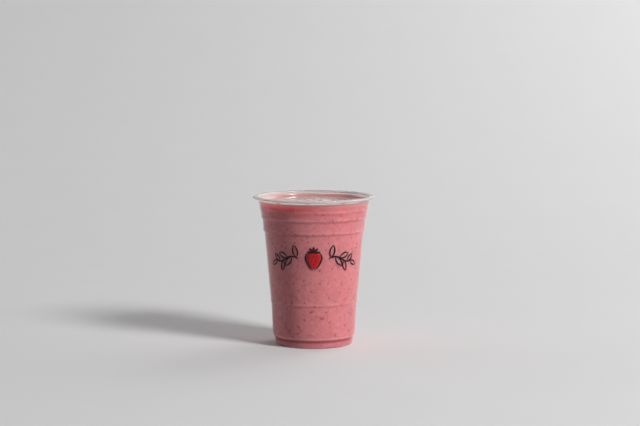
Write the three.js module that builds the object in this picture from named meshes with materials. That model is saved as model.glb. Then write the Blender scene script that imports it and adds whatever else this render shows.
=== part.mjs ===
// A strawberry smoothie in a clear disposable cup. The cup is one thin formed sheet with a rolled rim,
// stacking ribs and a stepped foot, and the thick drink fills it to just under the rim.
// Millimetres, +Z up, with the origin in the middle of the foot's underside.
import * as THREE from "three";

// Driving dimensions
const cupHeight = 120;
const rimRadius = 49;
const wall = 0.6; // thickness of the sheet
const gap = 0.3; // clearance between the drink and the sheet
const around = 60; // sides of every round shape

// Foot: a ring that stands on the table, with the base pushed up inside it
const baseRise = 4.4; // middle of the base
const baseEdge = { radius: 25.6, height: 3.4, round: 1.2 };
const ring = { inner: 27.6, outer: 30.9, round: 0.9 };
const footTop = { radius: 31.35, height: 5.3, round: 0.7 };
const shoulder = { radius: 32.75, height: 7.7, round: 1.8 };

// Side wall: panels with a draft, parted by ribs where the sheet steps outwards over a low bead
const lowerPanel = { radius: 33.0, height: 10 };
const ribs = [
  { height: 35.0, step: 0.45, draftBelow: 2.9 },
  { height: 92.6, step: 1.0, draftBelow: 5.05 },
  { height: 102.9, step: 0.9, draftBelow: 5.2 },
  { height: 109.5, step: 0.5, draftBelow: 8.5 },
];
const ribHalfHeight = 1.6;
const bead = 0.2; // stands out from the panel above the rib

// Rolled rim: it rises steeply to its crest, slopes to its outer edge and is open underneath
const curl = { width: 4.6, crest: 1.6, halfHeight: 1.1, endAngle: -Math.PI / 3 };

// Drink
const level = 115.7;
const meniscus = { rise: 0.8, width: 2.0 }; // where the drink climbs the wall
const swirl = { height: 0.1, pitch: 17, fadeFrom: 30, fadeTo: 39 }; // spiral ripple left by the pour
const peak = { height: 0.15, radius: 6 }; // low rise in the middle of the swirl
const lump = { x: 1, y: 22, height: 0.5, radius: 3.2 }; // piece of fruit just under the surface
const topRings = 10;

const cornerSteps = 2;
const innerCurlSteps = 3;
const outerCurlSteps = 5;

// A path through the corners, each one cut by a curve that starts and ends its own round away from it.
function roundedPath(corners) {
  const at = ({ radius, height }) => new THREE.Vector2(radius, height);
  const path = new THREE.Path();
  path.moveTo(corners[0].radius, corners[0].height);
  for (let i = 1; i < corners.length - 1; i++) {
    const corner = at(corners[i]);
    const cut = corners[i].round ?? 0;
    if (!cut) {
      path.lineTo(corner.x, corner.y);
      continue;
    }
    const before = at(corners[i - 1]).sub(corner).setLength(cut).add(corner);
    const after = at(corners[i + 1]).sub(corner).setLength(cut).add(corner);
    path.lineTo(before.x, before.y);
    path.quadraticCurveTo(corner.x, corner.y, after.x, after.y);
  }
  const last = corners.at(-1);
  path.lineTo(last.radius, last.height);
  return path.getPoints(cornerSteps);
}

// The corners of the ribbed side wall, from the lower panel to the top of the highest rib.
function ribbedWall() {
  const corners = [{ ...lowerPanel }];
  for (const rib of ribs) {
    const foot = corners.at(-1);
    const height = rib.height - ribHalfHeight;
    const draft = Math.tan(THREE.MathUtils.degToRad(rib.draftBelow));
    const radius = foot.radius + (height - foot.height) * draft;
    corners.push({ radius, height });
    corners.push({ radius: radius + rib.step + bead, height: rib.height });
    corners.push({ radius: radius + rib.step, height: rib.height + ribHalfHeight });
  }
  return corners;
}

// The middle of the sheet from the centre of the base to the end of the curl.
function sheetMiddle() {
  const standing = wall / 2;
  const rise = curl.crest - wall / 2;
  const slope = curl.width - curl.crest - wall / 2;
  const curlHeight = curl.halfHeight - wall / 2;
  const crestRadius = rimRadius - curl.width + curl.crest;
  const curlMiddle = cupHeight - curl.halfHeight;
  const side = roundedPath([
    { radius: 0, height: baseRise },
    baseEdge,
    { radius: ring.inner, height: standing, round: ring.round },
    { radius: ring.outer, height: standing, round: ring.round },
    footTop,
    shoulder,
    ...ribbedWall(),
    { radius: crestRadius - rise, height: curlMiddle - curlHeight },
  ]);
  const curlArc = (width, from, to, steps) =>
    new THREE.EllipseCurve(crestRadius, curlMiddle, width, curlHeight, from, to, true).getPoints(steps);
  const inner = curlArc(rise, Math.PI, Math.PI / 2, innerCurlSteps);
  const outer = curlArc(slope, Math.PI / 2, curl.endAngle, outerCurlSteps);
  return [...side, ...inner, ...outer.slice(1)];
}

// The path moved sideways by a distance, to the left of its direction, with mitred corners.
function offsetPath(points, distance) {
  const leftOf = (a, b) => new THREE.Vector2(a.y - b.y, b.x - a.x).normalize();
  return points.map((point, i) => {
    const onAxis = i === 0;
    const before = onAxis ? new THREE.Vector2(0, 1) : leftOf(points[i - 1], point);
    const after = i === points.length - 1 ? before : leftOf(point, points[i + 1]);
    if (onAxis) return new THREE.Vector2(0, point.y + distance);
    const miter = before.clone().add(after).normalize();
    return point.clone().addScaledVector(miter, distance / miter.dot(before));
  });
}

// A profile turned about the Z axis. It starts and ends on the axis.
function turned(profile) {
  return new THREE.LatheGeometry(profile, around).rotateX(Math.PI / 2);
}

function cupGeometry(middle) {
  const outside = offsetPath(middle, -wall / 2);
  const inside = offsetPath(middle, wall / 2);
  return turned([...outside, ...inside.reverse()]);
}

// Height of the pour's low swirl: a spiral ripple that fades towards the wall, a small peak and the lump.
function swirlHeight(x, y) {
  const radius = Math.hypot(x, y);
  const ripple = Math.cos(Math.atan2(y, x) + (2 * Math.PI * radius) / swirl.pitch);
  const inner = THREE.MathUtils.smoothstep(radius, 0, swirl.pitch / 2);
  const outer = 1 - THREE.MathUtils.smoothstep(radius, swirl.fadeFrom, swirl.fadeTo);
  const middleRise = peak.height * Math.exp(-((radius / peak.radius) ** 2));
  const lumpRise = lump.height * Math.exp(-((Math.hypot(x - lump.x, y - lump.y) / lump.radius) ** 4));
  return swirl.height * ripple * inner * outer + middleRise + lumpRise;
}

function smoothieGeometry(middle) {
  const lining = offsetPath(middle, wall / 2 + gap);
  const edgeHeight = level + meniscus.rise;
  const first = lining.findIndex((point, i) => i > 0 && point.y > edgeHeight);
  const share = (edgeHeight - lining[first - 1].y) / (lining[first].y - lining[first - 1].y);
  const edge = lining[first - 1].clone().lerp(lining[first], share);
  const climb = new THREE.QuadraticBezierCurve(
    edge,
    new THREE.Vector2(edge.x - meniscus.width / 4, level),
    new THREE.Vector2(edge.x - meniscus.width, level),
  ).getPoints(cornerSteps);
  const flatRadius = edge.x - meniscus.width;
  const top = [];
  for (let i = topRings - 1; i >= 0; i--) top.push(new THREE.Vector2((flatRadius * i) / topRings, level));
  const geometry = turned([...lining.slice(0, first), ...climb, ...top]);
  const position = geometry.attributes.position;
  for (let i = 0; i < position.count; i++) {
    if (position.getZ(i) < level - gap) continue;
    const [x, y] = [position.getX(i), position.getY(i)];
    if (Math.hypot(x, y) < flatRadius) position.setZ(i, position.getZ(i) + swirlHeight(x, y));
  }
  return geometry;
}

const clearPlastic = new THREE.MeshStandardMaterial({
  color: 0xf2f4f5,
  roughness: 0.08,
  metalness: 0,
  transparent: true,
  opacity: 0.3,
});
const pinkDrink = new THREE.MeshStandardMaterial({ color: 0xd18586, roughness: 0.45, metalness: 0 });

const middle = sheetMiddle();
const cup = new THREE.Mesh(cupGeometry(middle), clearPlastic);
cup.name = "cup";
const smoothie = new THREE.Mesh(smoothieGeometry(middle), pinkDrink);
smoothie.name = "smoothie";

const drinkInCup = new THREE.Group();
drinkInCup.add(cup, smoothie);

export default drinkInCup;
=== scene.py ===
import math

import bpy
import numpy as np
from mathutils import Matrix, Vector


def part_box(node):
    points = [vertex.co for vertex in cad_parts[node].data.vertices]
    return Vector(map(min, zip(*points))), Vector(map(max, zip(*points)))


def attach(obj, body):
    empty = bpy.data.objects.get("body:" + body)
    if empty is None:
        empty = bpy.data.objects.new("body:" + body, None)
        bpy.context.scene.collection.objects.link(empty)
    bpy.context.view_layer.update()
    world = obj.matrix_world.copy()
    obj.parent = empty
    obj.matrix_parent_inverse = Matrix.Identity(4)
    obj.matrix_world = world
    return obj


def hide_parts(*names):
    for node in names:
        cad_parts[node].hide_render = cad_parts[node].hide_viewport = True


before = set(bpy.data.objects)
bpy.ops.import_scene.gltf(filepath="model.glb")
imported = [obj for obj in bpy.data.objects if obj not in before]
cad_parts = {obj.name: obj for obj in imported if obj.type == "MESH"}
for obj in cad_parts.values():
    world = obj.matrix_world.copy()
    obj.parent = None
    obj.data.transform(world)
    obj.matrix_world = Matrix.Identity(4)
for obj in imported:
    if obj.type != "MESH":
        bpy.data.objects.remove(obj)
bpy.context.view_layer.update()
mm = 0.001
print("frame loaded with", ", ".join(sorted(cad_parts)))


# A socket of a material. Arithmetic with it adds Math nodes, so 1 - mask works as it reads.
class Wire:
    def __init__(self, finish, socket):
        self.finish = finish
        self.socket = socket

    def math(self, operation, first, second):
        return self.finish.node("ShaderNodeMath", {"operation": operation}, {0: first, 1: second})

    def __add__(self, other):
        return self.math("ADD", self, other)

    def __radd__(self, other):
        return self.math("ADD", other, self)

    def __sub__(self, other):
        return self.math("SUBTRACT", self, other)

    def __rsub__(self, other):
        return self.math("SUBTRACT", other, self)

    def __mul__(self, other):
        return self.math("MULTIPLY", self, other)

    def __rmul__(self, other):
        return self.math("MULTIPLY", other, self)


# A node material. Its patterns read Object coordinates, which are metres in the cup's own frame.
class Finish:
    def __init__(self, name):
        self.material = bpy.data.materials.new(name)
        self.material.use_nodes = True
        self.tree = self.material.node_tree
        self.tree.nodes.clear()

    # Adds any node: its settings first, then the values or links of its sockets, by name or number.
    def node(self, kind, settings=(), sockets=(), output=0):
        made = self.tree.nodes.new(kind)
        for key, value in dict(settings).items():
            setattr(made, key, value)
        for key, value in dict(sockets).items():
            if isinstance(value, Wire):
                self.tree.links.new(value.socket, made.inputs[key])
            else:
                made.inputs[key].default_value = value
        return Wire(self, made.outputs[output]) if made.outputs else None

    def place(self):
        return self.node("ShaderNodeTexCoord", output="Object")

    # Height over the floor, in mm.
    def height(self, place):
        return self.node("ShaderNodeSeparateXYZ", sockets={"Vector": place}, output="Z") * (1 / mm)

    # Distance from a point, both in mm.
    def away(self, place, point):
        sockets = {0: place, 1: Vector(point) * mm}
        return self.node("ShaderNodeVectorMath", {"operation": "DISTANCE"}, sockets, "Value") * (1 / mm)

    # Noise whose lumps are about the given size across, in mm.
    def noise(self, place, size, detail, roughness=0.5):
        sockets = {"Vector": place, "Scale": 1 / (size * mm), "Detail": detail, "Roughness": roughness}
        return self.node("ShaderNodeTexNoise", {"noise_dimensions": "3D"}, sockets)

    # 0 at the low value, 1 at the high one, and smooth in between. The low value may be the larger one.
    def step(self, value, low, high):
        sockets = {"Value": value, "From Min": low, "From Max": high}
        return self.node("ShaderNodeMapRange", {"interpolation_type": "SMOOTHSTEP"}, sockets)

    # 1 at the middle value, falling to 0 one width to either side.
    def line(self, value, middle, width):
        return self.step(value, middle - width, middle) * self.step(value, middle + width, middle)

    def blend(self, share, first, second):
        return self.node("ShaderNodeMix", {"data_type": "RGBA"}, {0: share, 6: first, 7: second}, 2)

    def bump(self, height, depth, strength):
        sockets = {"Height": height, "Distance": depth * mm, "Strength": strength}
        return self.node("ShaderNodeBump", sockets=sockets)

    def surface(self, sockets):
        return self.node("ShaderNodeBsdfPrincipled", sockets=sockets)

    def mix(self, share, first, second):
        return self.node("ShaderNodeMixShader", sockets={0: share, 1: first, 2: second})

    def done(self, shader):
        self.node("ShaderNodeOutputMaterial", sockets={"Surface": shader})
        return self.material


def rgb(red, green, blue):
    return (red, green, blue, 1.0)


# Grids of points, as copies x rows x columns x 3, closed into skins. Columns wrap round, and the first and
# the last row of each copy are single points. A skin faces out when column direction x row direction does.
def closedSkins(grids):
    copies, rows, columns = grids.shape[:3]
    middle = grids[:, 1:-1].reshape(copies, -1, 3)
    points = np.concatenate([grids[:, 0, :1], middle, grids[:, -1, :1]], axis=1)
    ring = 1 + np.arange((rows - 2) * columns).reshape(rows - 2, columns)
    after = np.roll(ring, -1, axis=1)
    first, last = np.zeros(columns, int), np.full(columns, points.shape[1] - 1)
    quads = np.stack([ring[:-1], after[:-1], after[1:], ring[1:]], axis=-1).reshape(-1, 4)
    caps = np.concatenate([
        np.stack([first, after[0], ring[0]], axis=-1),
        np.stack([ring[-1], after[-1], last], axis=-1),
    ])
    start = (np.arange(copies) * points.shape[1])[:, None, None]
    faces = (quads + start).reshape(-1, 4).tolist() + (caps + start).reshape(-1, 3).tolist()
    return points.reshape(-1, 3), faces


def addMesh(name, points, faces, material):
    mesh = bpy.data.meshes.new(name)
    mesh.from_pydata(points.tolist(), [], faces)
    mesh.polygons.foreach_set("use_smooth", np.ones(len(mesh.polygons), bool))
    mesh.materials.append(material)
    mesh.update()
    made = bpy.data.objects.new(name, mesh)
    bpy.context.scene.collection.objects.link(made)
    return made


# A piece of the object from grids in mm.
def addPiece(name, grids, material):
    piece = addMesh(name, *closedSkins(grids * mm), material)
    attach(piece, "root")
    print("made", name, "with", len(piece.data.polygons), "faces")
    return piece


def smoothStep(value, low, high):
    share = np.clip((value - low) / (high - low), 0, 1)
    return share * share * (3 - 2 * share)


# A path through the corners in which each one gives way to a quadratic curve that starts and ends its own
# cut away from it: (1-t)^2 before + 2t(1-t) corner + t^2 after.
def roundedPath(corners, cuts, steps):
    corner, cut = corners[1:-1], cuts[1:-1, None]
    back, forth = corners[:-2] - corner, corners[2:] - corner
    before = corner + cut * back / np.linalg.norm(back, axis=1, keepdims=True)
    after = corner + cut * forth / np.linalg.norm(forth, axis=1, keepdims=True)
    t = np.linspace(0, 1, steps)[None, :, None]
    curves = (1 - t) ** 2 * before[:, None] + 2 * t * (1 - t) * corner[:, None] + t ** 2 * after[:, None]
    return np.concatenate([corners[:1], curves.reshape(-1, 2), corners[-1:]])


# The path moved to the left of its direction. Each point goes along the sum of its two edges' normals,
# by the distance over the cosine of half the turn, so a sheet keeps its thickness.
def offsetPath(path, distance):
    edge = np.diff(path, axis=0)
    normal = np.stack([-edge[:, 1], edge[:, 0]], axis=1) / np.linalg.norm(edge, axis=1, keepdims=True)
    before = np.concatenate([normal[:1], normal])
    after = np.concatenate([normal, normal[-1:]])
    miter = before + after
    miter[0] = (0, 1)  # the first point stays on the axis
    miter /= np.linalg.norm(miter, axis=1, keepdims=True)
    return path + distance * miter / np.sum(miter * before, axis=1, keepdims=True)


# Points about the axis: x = r cos a, y = r sin a, z = height.
def aboutAxis(radius, angle, height):
    return np.stack([radius * np.cos(angle), radius * np.sin(angle), height], axis=-1)


# The angles of a full turn in equal steps.
def fullTurn(steps):
    return np.arange(steps) * 2 * np.pi / steps


# Clear cup, sizes in mm
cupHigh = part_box("cup")[1]
cup = {
    "height": cupHigh.z / mm,
    "rimRadius": cupHigh.x / mm,
    "wall": 0.6,  # thickness of the sheet
    "baseRise": 4.4,  # of the middle of the base
    "baseEdge": (25.6, 3.4, 1.2),  # radius, height and cut of a corner
    "ring": (27.6, 30.9, 0.9),  # inner and outer radius of the foot ring, and their cut
    "footTop": (31.35, 5.3, 0.7),
    "shoulder": (32.75, 7.7, 1.8),
    "panelFoot": (33.0, 10.0, 0.4),
    "ribs": [  # height, step outwards and draft of the panel below
        (35.0, 0.45, 2.9),
        (92.6, 1.0, 5.05),
        (102.9, 0.9, 5.2),
        (109.5, 0.5, 8.5),
    ],
    "ribHalfHeight": 1.6,
    "ribCut": 0.75,
    "bead": 0.2,  # stands out from the panel above a rib
    "curl": (4.6, 1.6, 1.1),  # width, width up to the crest, and half height
    "curlEnd": -math.pi / 3,
    "curlCut": 0.4,  # where the side runs into the curl
    "cornerPoints": 7,
    "curlPoints": (14, 26),  # up to the crest and down from it
    "sides": 192,
}


# The middle of the sheet, from the axis over the base, the foot ring and the side to the end of the curl.
# Ribs step out over a bead, and panels lean by their draft. The curl is two arcs of ellipses.
def sheetMiddle():
    standing = cup["wall"] / 2
    inner, outer, ringCut = cup["ring"]
    corners = [
        (0, cup["baseRise"], 0),
        cup["baseEdge"],
        (inner, standing, ringCut),
        (outer, standing, ringCut),
        cup["footTop"],
        cup["shoulder"],
        cup["panelFoot"],
    ]
    for height, step, draft in cup["ribs"]:
        below = height - cup["ribHalfHeight"]
        radius = corners[-1][0] + (below - corners[-1][1]) * math.tan(math.radians(draft))
        corners.append((radius, below, cup["ribCut"]))
        corners.append((radius + step + cup["bead"], height, cup["ribCut"]))
        corners.append((radius + step, height + cup["ribHalfHeight"], cup["ribCut"]))
    width, crest, halfHeight = cup["curl"]
    middle = np.array([cup["rimRadius"] - width + crest, cup["height"] - halfHeight])
    upPoints, downPoints = cup["curlPoints"]
    up = np.linspace(math.pi, math.pi / 2, upPoints)
    down = np.linspace(math.pi / 2, cup["curlEnd"], downPoints)
    turn = np.concatenate([up, down[1:]])
    reach = np.where(turn > math.pi / 2, crest, width - crest) - standing
    lift = halfHeight - standing
    curl = middle + np.stack([reach * np.cos(turn), lift * np.sin(turn)], axis=1)
    corners.append((*(curl[0] - (0, lift)), cup["curlCut"]))
    corners.append((*curl[0], 0))
    corners = np.array(corners, float)
    path = roundedPath(corners[:, :2], corners[:, 2], cup["cornerPoints"])[:-1]
    return np.concatenate([path, curl])


middlePath = sheetMiddle()
ringMiddle = sum(cup["ring"][:2]) / 2
sideStart = int(np.argmax(middlePath[:, 0] > ringMiddle))
sideEnd = int(np.argmax(middlePath[:, 1] > cup["height"] - cup["curl"][2]))


# Radius of the sheet at given heights, at a distance to its inner side (plus) or outer side (minus).
def wallRadius(height, inward):
    side = offsetPath(middlePath, inward)[sideStart:sideEnd]
    return np.interp(height, side[:, 1], side[:, 0])


# Finish of the sheet, sizes in mm
plastic = {
    "clear": rgb(0.98, 0.985, 0.985),
    # pinkish haze: its tint is painted drink colour seen through the rolled rim
    "hazeTintedByDrink": rgb(0.95, 0.82, 0.79),
    "waveSize": 14.0,
    "waveDepth": 0.2,
    "scuffSize": 3.0,
    "rimUnderTop": (2.6, 1.6),  # the rolled rim's haze starts and is full this far under the top
    "crestUnderTop": (1.0, 0.2),
    "rimHaze": 0.38,
    "crestHaze": 0.2,
    # pale line on the shoulder: rub whitening and a painted highlight
    "shoulderLine": (7.6, 1.0),  # height and width
    "shoulderHazeAndHighlight": 0.08,
    # painted highlight over each rib's bead, where its upper slope catches the light
    "beadHighlightLine": (0.8, 0.9),  # height over its rib and width
    "beadHighlight": 0.05,
    "rimShade": 0.7,  # share of a lamp's light that the rim stops
}


# Thin clear sheet with a faint waviness from forming and soft scuffs. It is hazy where the rim is rolled,
# the haze pinkish with painted drink colour seen through it. A little haze on the shoulder is rub whitening
# and a painted highlight, and a little over each rib's bead is a painted highlight. Lamps shine through it.
def clearPlastic():
    finish = Finish("clear_plastic")
    place = finish.place()
    height = finish.height(place)
    waves = finish.noise(place, plastic["waveSize"], 1.0)
    scuffs = finish.step(finish.noise(place, plastic["scuffSize"], 6.0, 0.7), 0.5, 0.75)
    rim = finish.step(height, *(cup["height"] - depth for depth in plastic["rimUnderTop"]))
    crest = finish.step(height, *(cup["height"] - depth for depth in plastic["crestUnderTop"]))
    # pale line on the shoulder: rub whitening and a painted highlight
    shoulder = finish.line(height, *plastic["shoulderLine"])
    # painted highlight over each rib's bead
    overRib, beadWidth = plastic["beadHighlightLine"]
    beadHighlights = sum(finish.line(height, rib[0] + overRib, beadWidth) for rib in cup["ribs"])
    sheet = finish.surface({
        "Base Color": plastic["clear"],
        "Roughness": scuffs * 0.05 + 0.025 + rim * 0.07,
        "IOR": 1.38,
        "Transmission Weight": 1.0,
        "Normal": finish.bump(waves, plastic["waveDepth"], 0.12),
    })
    # haze whose pink tint is painted drink colour seen through it
    haze = finish.surface({"Base Color": plastic["hazeTintedByDrink"], "Roughness": 0.3 + scuffs * 0.1})
    clearing = plastic["rimHaze"] - plastic["crestHaze"]
    share = rim * (plastic["rimHaze"] - crest * clearing)
    share = share + shoulder * plastic["shoulderHazeAndHighlight"] + beadHighlights * plastic["beadHighlight"]
    gap = finish.node("ShaderNodeBsdfTransparent")
    shadow = finish.node("ShaderNodeLightPath", output="Is Shadow Ray")
    through = shadow * (1 - rim * plastic["rimShade"])
    return finish.done(finish.mix(through, finish.mix(share, sheet, haze), gap))


# The sheet's outer side from the axis up and over the curl, then its inner side back down to the axis, both
# turned about the axis.
def makeCup():
    outside = offsetPath(middlePath, -cup["wall"] / 2)
    inside = offsetPath(middlePath, cup["wall"] / 2)[::-1]
    profile = np.concatenate([outside, inside])
    spread = np.ones(cup["sides"])
    grid = aboutAxis(profile[:, :1] * spread, fullTurn(cup["sides"]), profile[:, 1:] * spread)
    piece = addPiece("clear_cup", grid[None], clearPlastic())
    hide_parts("cup")


makeCup()

# Drink, sizes in mm
drink = {
    "rimRise": 0.8,  # the drink climbs the wall by this much
    "rimWidth": 2.0,
    "intoWall": 0.1,
    "filmStart": -0.6,  # over the level, like the two heights of its edge
    "filmFront": 0.9,
    "filmBack": 1.7,  # where the drink has wetted the wall
    "filmTurn": (-0.35, 0.3),  # sine of the angle where the front ends and the back starts
    "filmWaves": [(3, 0.16, 0.8), (7, 0.1, 2.1), (12, 0.05, 0.0)],  # lobes, height and phase
    "frontWaves": 0.25,  # share of their height at the front
    "filmThickness": 0.32,
    "filmLip": 0.06,  # rounds its edge
    "filmFold": 0.97,  # share of its height where the way down starts
    "swirlHeight": 0.1,
    "swirlPitch": 17.0,
    "swirlFade": (30.0, 39.0),
    "peakHeight": 0.15,
    "peakRadius": 6.0,
    "lump": (1.0, 22.0, 3.2, 0.5),  # place, size and height of a lump of fruit under the skin
    "filmRows": (9, 16),  # up the wall and down again
    "topRows": 60,
    "sides": 192,
}
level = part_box("smoothie")[1].z / mm - drink["rimRise"]
intoSheet = cup["wall"] / 2 - drink["intoWall"]  # from the sheet's middle to the drink's side


# Height of the pour's low swirl: cos(angle + 2 pi r / pitch), faded at the middle and at the wall, a low
# rise exp(-(r / size)^2) in the middle, and a lump exp(-(d / size)^4) off to one side.
def swirlHeight(radius, angle):
    ripple = np.cos(angle + 2 * np.pi * radius / drink["swirlPitch"])
    inner = smoothStep(radius, 0, drink["swirlPitch"] / 2)
    outer = 1 - smoothStep(radius, *drink["swirlFade"])
    rise = drink["peakHeight"] * np.exp(-((radius / drink["peakRadius"]) ** 2))
    x, y, size, height = drink["lump"]
    away = np.hypot(radius * np.cos(angle) - x, radius * np.sin(angle) - y)
    lump = height * np.exp(-((away / size) ** 4))
    return drink["swirlHeight"] * ripple * inner * outer + rise + lump


# Height of the wet film's edge: low at the front, high at the back, with uneven waves, the sum of
# height * sin(lobes * angle + phase), which are lower at the front.
def filmEdge(angle):
    share = smoothStep(np.sin(angle), *drink["filmTurn"])
    waves = sum(height * np.sin(lobes * angle + phase) for lobes, height, phase in drink["filmWaves"])
    low, high = level + drink["filmFront"], level + drink["filmBack"]
    calm = drink["frontWaves"]
    return low + (high - low) * share + waves * (calm + (1 - calm) * share)


# Colours and light of the drink, sizes in mm
tone = {
    "pink": rgb(0.575, 0.212, 0.225),
    "cloud": rgb(0.55, 0.194, 0.21),
    "deep": rgb(0.44, 0.118, 0.138),
    "pale": rgb(0.635, 0.285, 0.286),
    "speck": rgb(0.36, 0.07, 0.085),
    # red for the painted shade under the shoulder and for the fruit lump's own red
    "red": rgb(0.36, 0.045, 0.062),
    # painted highlight: the pale line where light catches the shoulder's bend
    "bendHighlight": rgb(0.85, 0.48, 0.46),
    # froth under the top edge, with painted light that comes in from above
    "frothAndTopLight": rgb(0.75, 0.4, 0.39),
    # paler film on the wall over the level: painted light shining through the thin film
    "filmLitThrough": rgb(0.75, 0.49, 0.455),
    "cloudSize": 16.0,
    "pulpSize": 3.2,
    "grainSize": 1.1,
    "pulpDepth": 0.06,
    # painted shade: a red band under the shoulder, where its shadow falls
    "neckShadeLine": (5.6, 2.2),  # height and width, under the shoulder
    "bendHighlightLine": (8.0, 1.0),  # on the shoulder's bend
    "frothAndTopLightAt": (-3.5, 0.3),  # it starts and is full at these heights over the level
    "filmLitThroughAt": (-0.1, 1.0),
    "lumpFade": (1.3, 0.7),  # shares of the lump's size
    "lightDepth": 12.0,  # how far red light goes into the drink
    "topLightDepth": 1.5,
    "glowDepth": 28.0,
    "glowAt": (98.0, 114.0),  # heights between which the glow comes in
}


# Thick pink drink: cloudy streaks, pale pulp and tiny dark specks. It is redder over the lump of fruit, and
# under the shoulder as painted shade. It is paler on the shoulder's bend as a painted highlight, in the
# froth under the top edge, which also carries painted light from above, and in the film as painted light
# shining through it.
def drinkSockets(finish, place, height, roughness):
    clouds = finish.noise(place, tone["cloudSize"], 3.0)
    pulp = finish.noise(place, tone["pulpSize"], 4.0, 0.6)
    grain = finish.noise(place, tone["grainSize"], 2.0)
    neckShade = finish.line(height, *tone["neckShadeLine"])
    bendHighlight = finish.line(height, *tone["bendHighlightLine"])
    frothAndTopLight = finish.step(height, *(level + over for over in tone["frothAndTopLightAt"]))
    filmLitThrough = finish.step(height, *(level + over for over in tone["filmLitThroughAt"]))
    x, y, size = drink["lump"][:3]
    lump = finish.step(finish.away(place, (x, y, level)), *(size * share for share in tone["lumpFade"]))
    layers = [
        (finish.step(clouds, 0.4, 0.62), "cloud"),
        (finish.step(pulp, 0.52, 0.72) * 0.7, "deep"),
        (finish.step(pulp, 0.46, 0.3) * 0.5, "pale"),
        (finish.step(grain, 0.62, 0.74) * 0.5, "speck"),
        # painted shade under the shoulder, and the lump of fruit's own red
        (neckShade * 0.9 + lump * 0.5, "red"),
        # painted highlight on the shoulder's bend
        (bendHighlight * 0.4, "bendHighlight"),
        # froth and painted light from above under the top edge
        (frothAndTopLight * 0.55, "frothAndTopLight"),
        # painted light shining through the thin film
        (filmLitThrough * 0.8, "filmLitThrough"),
    ]
    colour = tone["pink"]
    for share, name in layers:
        colour = finish.blend(share, colour, tone[name])
    return {
        "Base Color": colour,
        "Roughness": roughness + 0.08 * pulp,
        "IOR": 1.36,
        "Subsurface Radius": (1.0, 0.2, 0.26),
        "Normal": finish.bump(pulp, tone["pulpDepth"], 0.2),
    }


# Dull where it wets the wall. Light goes deeper near the top, where it also comes in from above.
def drinkOnWall():
    finish = Finish("smoothie_on_wall")
    place = finish.place()
    height = finish.height(place)
    sockets = drinkSockets(finish, place, height, 0.3) | {"Specular IOR Level": 0.0}
    body = finish.surface(sockets | {"Subsurface Weight": 0.7, "Subsurface Scale": tone["lightDepth"] * mm})
    glow = finish.surface(sockets | {"Subsurface Weight": 1.0, "Subsurface Scale": tone["glowDepth"] * mm})
    return finish.done(finish.mix(finish.step(height, *tone["glowAt"]), body, glow))


# Wet and glossy, lit a little way under its skin.
def drinkTop():
    finish = Finish("smoothie_top")
    place = finish.place()
    sockets = drinkSockets(finish, place, finish.height(place), 0.06)
    sockets |= {"Specular IOR Level": 1.0, "Coat Weight": 1.0}
    sockets |= {"Subsurface Weight": 0.7, "Subsurface Scale": tone["topLightDepth"] * mm}
    return finish.done(finish.surface(sockets))


# The lining of the cup up to the film's start, the film up to its edge and back down in a widening curve,
# and the flat top with its swirl. The film thickens by width (1 - h / rise)^2 as it nears the level.
def makeSmoothie():
    lining = offsetPath(middlePath, intoSheet)
    filmStart = level + drink["filmStart"]
    bodyEnd = sideStart + int(np.argmax(lining[sideStart:, 1] > filmStart))
    angle = fullTurn(drink["sides"])
    spread = np.ones(drink["sides"])
    edge = filmEdge(angle)
    upRows, downRows = drink["filmRows"]
    upHeight = filmStart + (edge - filmStart) * np.linspace(0, 1, upRows)[:, None]
    upRadius = wallRadius(upHeight, intoSheet)
    lipRadius = upRadius[-1:] - drink["filmThickness"] / 2
    lipHeight = edge[None] + drink["filmLip"]
    downHeight = level + (edge - level) * np.linspace(drink["filmFold"], 0, downRows)[:, None]
    near = np.clip(1 - (downHeight - level) / drink["rimRise"], 0, 1)
    downRadius = wallRadius(downHeight, intoSheet) - drink["filmThickness"] - drink["rimWidth"] * near ** 2
    topRadius = downRadius[-1:] * np.linspace(1, 0, drink["topRows"])[1:, None]
    topHeight = level + swirlHeight(topRadius, angle)
    bodyRadius, bodyHeight = lining[:bodyEnd, :1] * spread, lining[:bodyEnd, 1:] * spread
    radius = np.concatenate([bodyRadius, upRadius, lipRadius, downRadius, topRadius])
    height = np.concatenate([bodyHeight, upHeight, lipHeight, downHeight, topHeight])
    grid = aboutAxis(radius, angle, height)
    piece = addPiece("smoothie_drink", grid[None], drinkOnWall())
    piece.data.materials.append(drinkTop())
    centres = np.zeros(3 * len(piece.data.polygons))
    piece.data.polygons.foreach_get("center", centres)
    bare = centres[2::3] > filmStart * mm
    piece.data.polygons.foreach_set("material_index", bare.astype(np.int32))
    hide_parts("smoothie")


makeSmoothie()


# Small lumps in one mesh. Each is a sphere grid, (sin t, cos t cos p, cos t sin p), which thins to one end
# by its taper and swells in three lobes round its length, stretched by half sizes along its own three axes.
def lumpGrids(rng, lumps, centres, axes, halfSizes):
    phases = rng.uniform(0, lumps["lobeTurn"], len(centres))[:, None, None]
    t = np.linspace(-np.pi / 2, np.pi / 2, lumps["rings"])[None, :, None]
    p = fullTurn(lumps["sides"])[None, None, :]
    waist = np.cos(t) * (1 - lumps["taper"] * np.sin(t)) * (1 + lumps["swell"] * np.cos(3 * p + phases))
    local = np.stack([np.sin(t) + 0 * waist, waist * np.cos(p), waist * np.sin(p)], axis=-1)
    local = local * halfSizes[:, None, None, :]
    return centres[:, None, None] + np.einsum("kijc,kcd->kijd", local, axes)


# Lengthways, widthways and outward directions on the wall, turned by an angle in the surface.
def wallAxes(angle, turn):
    outward = np.stack([np.cos(angle), np.sin(angle), 0 * angle], axis=-1)
    across = np.stack([-np.sin(angle), np.cos(angle), 0 * angle], axis=-1)
    up = np.array([0.0, 0.0, 1.0]) + 0 * across
    cos, sin = np.cos(turn)[:, None], np.sin(turn)[:, None]
    return np.stack([cos * across + sin * up, cos * up - sin * across, outward], axis=1)


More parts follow.
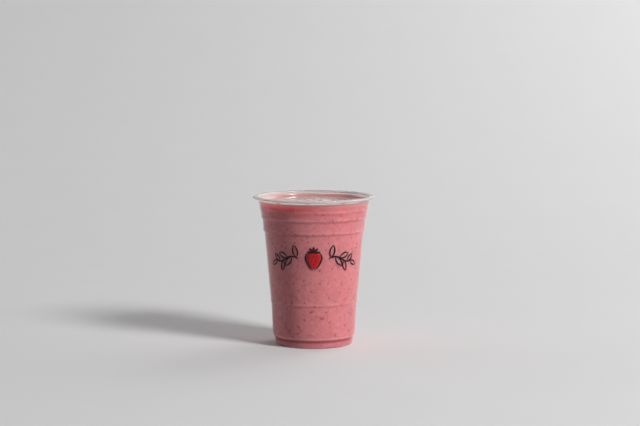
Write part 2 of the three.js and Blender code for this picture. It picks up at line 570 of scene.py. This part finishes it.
# Lengthways, widthways and upward directions on the level top.
def topAxes(turn):
    cos, sin, none = np.cos(turn), np.sin(turn), 0 * turn
    lengthways = np.stack([cos, sin, none], axis=-1)
    widthways = np.stack([-sin, cos, none], axis=-1)
    return np.stack([lengthways, widthways, np.stack([none, none, none + 1], axis=-1)], axis=1)


# Lumps that lie against the wall. Each shows above the drink's skin by half to all of the set amount.
def lumpsOnWall(rng, lumps):
    count = lumps["onWall"]
    angle = rng.uniform(0, 2 * np.pi, count)
    height = rng.uniform(*lumps["heights"], count)
    halfSizes = rng.uniform(lumps["smallest"], lumps["largest"], (count, 3))
    skin = wallRadius(height, intoSheet)
    radius = skin + lumps["showing"] * rng.uniform(0.5, 1, count) - halfSizes[:, 2]
    axes = wallAxes(angle, rng.uniform(0, 2 * np.pi, count))
    return lumpGrids(rng, lumps, aboutAxis(radius, angle, height), axes, halfSizes)


# Lumps that float on the top, spread evenly over its disc and sunk to the share that shows.
def lumpsOnTop(rng, lumps):
    count = lumps["onTop"]
    angle = rng.uniform(0, 2 * np.pi, count)
    radius = lumps["topReach"] * np.sqrt(rng.uniform(0, 1, count))
    halfSizes = rng.uniform(lumps["smallest"], lumps["largest"], (count, 3))
    height = level + swirlHeight(radius, angle) + halfSizes[:, 2] * (2 * lumps["topShare"] - 1)
    axes = topAxes(rng.uniform(0, 2 * np.pi, count))
    return lumpGrids(rng, lumps, aboutAxis(radius, angle, height), axes, halfSizes)


# A colour that drifts from dark to light in patches, rougher where it is light.
def mottledFinish(name, look):
    finish = Finish(name)
    tint = finish.noise(finish.place(), look["patchSize"], look["detail"], look["grain"])
    return finish.done(finish.surface({
        "Base Color": finish.blend(finish.step(tint, 0.35, 0.65), look["dark"], look["light"]),
        "Roughness": look["roughness"] + 0.2 * tint,
        "Specular IOR Level": look["gloss"],
    }))


def makeLumps(name, lumps):
    rng = np.random.default_rng(lumps["draw"])
    grids = np.concatenate([lumpsOnWall(rng, lumps), lumpsOnTop(rng, lumps)])
    addPiece(name, grids, mottledFinish(lumps["finish"], lumps))


# What seeds and shreds share, in mm
fleck = {
    "heights": (8.0, 112.0),  # on the wall
    "rings": 5,
    "sides": 8,
    "lobeTurn": 6.3,  # radians, the most that its lobes are turned
    "grain": 0.5,
    "gloss": 0.1,
}

# Strawberry seeds, half sizes in mm
seeds = fleck | {
    "draw": 4107,  # of the random places
    "onWall": 100,
    "showing": 0.2,
    "onTop": 12,
    "topReach": 38.0,
    "topShare": 0.6,
    "smallest": (0.6, 0.42, 0.22),
    "largest": (1.0, 0.68, 0.3),
    "taper": 0.35,
    "swell": 0.0,
    "finish": "seed",
    "dark": rgb(0.21, 0.022, 0.034),
    "light": rgb(0.32, 0.055, 0.068),
    "patchSize": 4.0,
    "detail": 1.0,
    "roughness": 0.35,
}
makeLumps("seeds", seeds)

# Shreds of fruit, half sizes in mm
shreds = fleck | {
    "draw": 911,
    "onWall": 280,
    "showing": 0.12,
    "onTop": 30,
    "topReach": 39.0,
    "topShare": 0.5,
    "smallest": (0.7, 0.5, 0.12),
    "largest": (2.2, 1.2, 0.2),
    "taper": 0.1,
    "swell": 0.25,
    "finish": "fruit_shred",
    "dark": rgb(0.39, 0.07, 0.085),
    "light": rgb(0.49, 0.125, 0.137),
    "patchSize": 6.0,
    "detail": 2.0,
    "roughness": 0.3,
}
makeLumps("fruit_shreds", shreds)

# Ink of the print, sizes in mm
ink = {
    "strokeHalf": 0.6,
    "strokeEnds": 0.35,  # power of a half width: the lower, the blunter the ends
    "lift": 0.04,  # the ink stands this far off the sheet
    "sunk": 0.05,
    "points": 17,  # along a stroke
    "columns": 6,  # across each side of it
    "maroon": {"dark": rgb(0.022, 0.004, 0.007), "light": rgb(0.036, 0.007, 0.012)},
    "red": {"dark": rgb(0.42, 0.009, 0.015), "light": rgb(0.5, 0.014, 0.022)},
    "wear": {"patchSize": 5.0, "detail": 4.0, "grain": 0.6, "roughness": 0.4, "gloss": 0.2},
}

# Two leafy sprigs, in mm along the wall and up it
sprig = {
    "height": 72.5,  # of the stems' inner ends
    "stemFrom": 11.5,
    "stemTo": 35.0,
    "stemWave": 2.4,
    "stemBends": 1.9,  # half waves along it
    "leafAt": (0.1, 0.27, 0.44, 0.6, 0.76, 0.9),  # shares of the stem's length
    "leafProbe": 0.01,  # share of the stem over which its heading is taken
    "leafLength": 11.0,
    "leafShrink": 0.3,  # towards the stem's end
    "leafBulge": 0.19,
    "leafAngle": 50.0,
}

# The strawberry between them
berry = {
    "top": 79.0,
    "length": 14.5,
    "halfWidth": 5.4,
    "shoulders": 0.62,  # power that brings the widest place up
    "fullness": 0.8,
    "outline": 1.1,  # gap from the red to the outline's middle
    "outlineStart": 0.15,  # share of the top's width where its two strokes start
    "crownFan": (12, 50, 90, 130, 168),  # degrees
    "crownLength": 5.6,
    "crownHalf": 0.9,
    "crownSunk": 1.2,  # its root under the top
    "crownEnds": 0.8,
    "pips": [(-2.6, 4.0), (0, 3.2), (2.6, 4.0), (-1.4, 6.7), (1.4, 6.7), (0, 9.6)],  # across and down
    "pipLength": 1.5,
    "pipHalf": 0.42,
    "pipEnds": 0.7,
}
bothSides = (-1, 1)


# Strokes as copies x rows x 2 with a half width in each row, laid on the wall. Across a stroke, some columns
# lie on the outside and as many come back inside the sheet, so it is a thin closed strip along the curve.
def inkGrids(paths, half, lift):
    along = np.gradient(paths, axis=1)
    along /= np.linalg.norm(along, axis=-1, keepdims=True)
    left = np.stack([-along[..., 1], along[..., 0]], axis=-1)
    outside = np.linspace(1, -1, ink["columns"])
    across = np.concatenate([outside, outside[::-1]])
    lifts = np.repeat([lift, -ink["sunk"]], ink["columns"])
    flat = paths[:, :, None] + left[:, :, None] * (half[:, None] * across)[None, ..., None]
    skin = wallRadius(flat[..., 1], -cup["wall"] / 2)
    angle = flat[..., 0] / skin - np.pi / 2
    return aboutAxis(skin + lifts, angle, flat[..., 1])


# A half width that rises from a point and falls back to one: half * sin(pi t)^power.
def pointed(t, half, power):
    return half * np.clip(np.sin(np.pi * t), 0, 1) ** power


# Wavy stem of the sprig on one side: u runs outwards and v = height + wave * sin(bends * pi t).
def stemPoint(side, t):
    u = side * (sprig["stemFrom"] + (sprig["stemTo"] - sprig["stemFrom"]) * t)
    v = sprig["height"] + sprig["stemWave"] * np.sin(sprig["stemBends"] * np.pi * t)
    return np.stack([u, v], axis=-1)


# Each leaf is two strokes that leave the stem at one point and bow apart by bulge * sin(pi t). Leaves turn
# from the stem's heading to either side in turn.
def leafStrokes(side, t):
    at = np.array(sprig["leafAt"])
    start = stemPoint(side, at)
    heading = stemPoint(side, at + sprig["leafProbe"]) - start
    turn = side * np.radians(sprig["leafAngle"]) * np.where(np.arange(len(at)) % 2, -1, 1)
    angle = np.arctan2(heading[:, 1], heading[:, 0]) + turn
    length = sprig["leafLength"] * (1 - sprig["leafShrink"] * at)
    ahead = np.stack([np.cos(angle), np.sin(angle)], axis=-1) * length[:, None]
    aside = np.stack([-ahead[:, 1], ahead[:, 0]], axis=-1) * sprig["leafBulge"]
    straight = start[:, None] + ahead[:, None] * t[:, None]
    bow = aside[:, None] * np.sin(np.pi * t)[:, None]
    return np.concatenate([straight + bow, straight - bow])


# Half width of the strawberry from its top to its tip: half * sin(pi t^shoulders)^fullness.
def berryHalf(t):
    return pointed(t ** berry["shoulders"], berry["halfWidth"], berry["fullness"])


def berryDrop(t):
    return berry["top"] - berry["length"] * t


# The strawberry's outline as two strokes, which start near its middle and meet under its tip.
def berryOutline(t):
    edge = berryHalf(t) + berry["outline"]
    strokes = np.stack([np.stack([side * edge, berryDrop(t)], axis=-1) for side in bothSides])
    strokes[:, 0, 0] *= berry["outlineStart"]
    strokes[:, -1] = (0, berryDrop(1) - berry["outline"])
    return strokes


# Leaves that fan out from a point just under the strawberry's top.
def crownStrokes(t):
    fan = np.radians(berry["crownFan"])
    leaves = np.stack([np.cos(fan), np.sin(fan)], axis=-1) * berry["crownLength"]
    return np.array([0, berry["top"] - berry["crownSunk"]]) + leaves[:, None] * t[:, None]


# Upright pips on the strawberry.
def pipStrokes(t):
    u, down = np.array(berry["pips"]).T
    starts = np.stack([u, berry["top"] - down], axis=-1)
    return starts[:, None] - np.array([0, berry["pipLength"]]) * t[:, None]


def makePrint():
    t = np.linspace(0, 1, ink["points"])
    stems = np.stack([stemPoint(side, t) for side in bothSides])
    leaves = np.concatenate([leafStrokes(side, t) for side in bothSides])
    lines = np.concatenate([stems, leaves, berryOutline(t)])
    lineHalf = pointed(t, ink["strokeHalf"], ink["strokeEnds"])
    crownHalf = pointed(t, berry["crownHalf"], berry["crownEnds"])
    pipHalf = pointed(t, berry["pipHalf"], berry["pipEnds"])
    dark = np.concatenate([
        inkGrids(lines, lineHalf, ink["lift"]),
        inkGrids(crownStrokes(t), crownHalf, 2 * ink["lift"]),
        inkGrids(pipStrokes(t), pipHalf, 2 * ink["lift"]),
    ])
    maroon = mottledFinish("maroon_ink", ink["maroon"] | ink["wear"])
    addPiece("printed_sprigs", dark, maroon)
    middle = np.stack([0 * t, berryDrop(t)], axis=-1)
    filled = inkGrids(middle[None], berryHalf(t), ink["lift"])
    red = mottledFinish("red_ink", ink["red"] | ink["wear"])
    addPiece("printed_strawberry", filled, red)


makePrint()

# Pale sweep of paper that the cup stands on, sizes in m
stage = {
    "front": -8.0,
    "bendStart": 0.4,
    "bendRadius": 2.5,
    "bendPoints": 40,
    "wallTop": 4.0,
    "halfWidth": 4.0,
    "drop": 0.00005,  # keeps the paper just clear of the foot
    "dark": rgb(0.83, 0.83, 0.833),
    "light": rgb(0.85, 0.85, 0.852),
    "toothSize": 60.0,  # in mm
}


def paperFinish():
    finish = Finish("paper")
    tooth = finish.noise(finish.place(), stage["toothSize"], 2.0)
    return finish.done(finish.surface({
        "Base Color": finish.blend(tooth, stage["dark"], stage["light"]),
        "Roughness": 0.85,
        "Specular IOR Level": 0.2,
    }))


# A floor that bends up into a wall along a quarter circle, carried straight across.
def makeStage():
    turn = np.linspace(0, math.pi / 2, stage["bendPoints"])
    bendY = stage["bendStart"] + stage["bendRadius"] * np.sin(turn)
    bendZ = stage["bendRadius"] * (1 - np.cos(turn))
    y = np.concatenate([[stage["front"]], bendY, bendY[-1:]])
    z = np.concatenate([[0.0], bendZ, [stage["wallTop"]]]) - stage["drop"]
    x = np.array([-1, 1]) * stage["halfWidth"]
    grid = np.stack([x + 0 * y[:, None], y[:, None] + 0 * x, z[:, None] + 0 * x], axis=-1)
    row = np.arange(len(y) - 1) * 2
    faces = np.stack([row, row + 1, row + 3, row + 2], axis=-1).tolist()
    addMesh("paper_sweep", grid.reshape(-1, 3), faces, paperFinish())


makeStage()

# Softbox to the front right, wide soft light from above and both sides, and a low even fill. Sizes in m.
white = (1.0, 1.0, 1.0)
light = {
    "lamps": {
        "softbox": {
            "place": (2.14, -1.67, 1.7),
            "aim": (-0.1, 1.3, 0.3),
            "size": 0.8,
            "watts": 80,
            "tint": white,
        },
        "overhead": {
            "place": (1.5, 1.7, 1.7),
            "aim": (0.6, 1.5, 0.1),
            "size": 1.6,
            "watts": 17,
            "tint": white,
        },
        "window": {
            "place": (2.2, 0.6, 0.9),
            "aim": (0.0, 0.4, 0.2),
            "size": 1.6,
            "watts": 4,
            "tint": white,
        },
        "card": {
            "place": (-2.0, 1.0, 0.3),
            "aim": (0.0, 0.0, 0.06),
            "size": 2.0,
            "watts": 17.5,
            "tint": (1.0, 0.91, 0.94),  # a little pink from the drink
        },
    },
    "fill": 0.11,
}


def makeLights():
    for name, spec in light["lamps"].items():
        lamp = bpy.data.lights.new(name, "AREA")
        lamp.shape = "SQUARE"
        lamp.size = spec["size"]
        lamp.energy = spec["watts"]
        lamp.color = spec["tint"]
        holder = bpy.data.objects.new(name, lamp)
        holder.location = spec["place"]
        holder.rotation_euler = (Vector(spec["aim"]) - holder.location).to_track_quat("-Z", "Y").to_euler()
        bpy.context.scene.collection.objects.link(holder)
    world = bpy.data.worlds.new("studio")
    world.use_nodes = True
    world.node_tree.nodes["Background"].inputs["Color"].default_value = rgb(*white)
    world.node_tree.nodes["Background"].inputs["Strength"].default_value = light["fill"]
    bpy.context.scene.world = world


makeLights()

# Camera of the photograph, in m and degrees, with its lens and sensor in mm
view = {"lens": 100, "sensor": 36, "place": (0.005, -1.425, 0.2577), "tilt": 6.09}


def makeCamera():
    lens = bpy.data.cameras.new("camera")
    lens.lens = view["lens"]
    lens.sensor_width = view["sensor"]
    camera = bpy.data.objects.new("camera", lens)
    camera.location = view["place"]
    camera.rotation_euler = (math.radians(90 - view["tilt"]), 0, 0)
    bpy.context.scene.collection.objects.link(camera)
    bpy.context.scene.camera = camera
    bpy.context.scene.view_settings.view_transform = "Standard"


makeCamera()
print("stage, light and camera ready")
